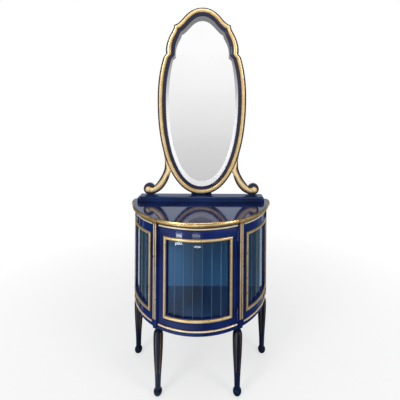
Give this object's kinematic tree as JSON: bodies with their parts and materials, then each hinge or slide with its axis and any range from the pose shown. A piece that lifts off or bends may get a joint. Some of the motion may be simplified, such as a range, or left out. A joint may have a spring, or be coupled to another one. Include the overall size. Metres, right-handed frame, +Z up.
{
  "type": "display cabinet",
  "caption": "Half-round glazed display cabinet on turned legs, with a curved door that swings open, fixed glazed sides and a tall shaped mirror on scroll feet standing on its top.",
  "frame": {"origin": "centre of the object's own box in plan, on the floor under the feet", "axes": "+Z up, -Y to the front where the door is, +Y to the wall behind, +X to the right seen from the front, where the hinges are"},
  "size_m": [0.7388, 0.364, 1.859],
  "materials": {
    "lacquer_blue": "dark blue gloss lacquer on wood",
    "inside_blue": "blue painted wood, satin",
    "gilding": "gilded wood, slightly worn",
    "brass": "polished brass",
    "painted_metal": "brass hinges lacquered over in dark blue",
    "glass": "clear",
    "mirror": "polished, bevelled",
    "bare_wood": "plain wood, matt"
  },
  "bodies": {
    "cabinet": {"top_board": "lacquer_blue", "top_edge_moulding": "gilding", "frieze_rail": "lacquer_blue", "frieze_bead": "gilding", "base_rail": "lacquer_blue", "base_bead": "gilding", "floor_board": "inside_blue", "back_panel": "inside_blue", "front_post_left": "lacquer_blue", "front_post_right": "lacquer_blue", "back_post_left": "lacquer_blue", "back_post_right": "lacquer_blue", "post_reeds": "gilding", "leg_front_left": "lacquer_blue", "leg_front_right": "lacquer_blue", "leg_back_left": "lacquer_blue", "leg_back_right": "lacquer_blue", "side_top_rail_left": "lacquer_blue", "side_top_rail_right": "lacquer_blue", "side_bottom_rail_left": "lacquer_blue", "side_bottom_rail_right": "lacquer_blue", "side_stiles_left": "lacquer_blue", "side_stiles_right": "lacquer_blue", "side_gilt_moulding_left": "gilding", "side_gilt_moulding_right": "gilding", "side_glass_left": "glass", "side_glass_right": "glass", "side_glazing_beads_left": "inside_blue", "side_glazing_beads_right": "inside_blue", "hinge_leaves_post": "painted_metal", "hinge_pins": "painted_metal", "hinge_screws_post": "brass", "catch_strike": "brass", "mirror_plinth": "lacquer_blue", "mirror_frame": "lacquer_blue", "mirror_gilt_band": "gilding", "mirror_glass": "mirror", "mirror_back_board": "bare_wood", "scroll_left": "lacquer_blue", "scroll_right": "lacquer_blue", "scroll_gilt_left": "gilding", "scroll_gilt_right": "gilding", "mirror_straps": "bare_wood", "strap_screws": "brass"},
    "door": {"door_stile_left": "lacquer_blue", "door_stile_right": "lacquer_blue", "door_top_rail": "lacquer_blue", "door_bottom_rail": "lacquer_blue", "door_gilt_moulding": "gilding", "door_glass": "glass", "door_glazing_beads": "inside_blue", "hinge_leaves_door": "painted_metal", "hinge_screws_door": "brass", "ball_catch": "brass"}
  },
  "joints": [
    {"name": "door_hinge", "type": "hinge", "parent": "cabinet", "child": "door", "pos_m": [0.17804, -0.11771, 0.565], "axis": [0, 0, 1], "range_deg": [0, 105]}
  ]
}
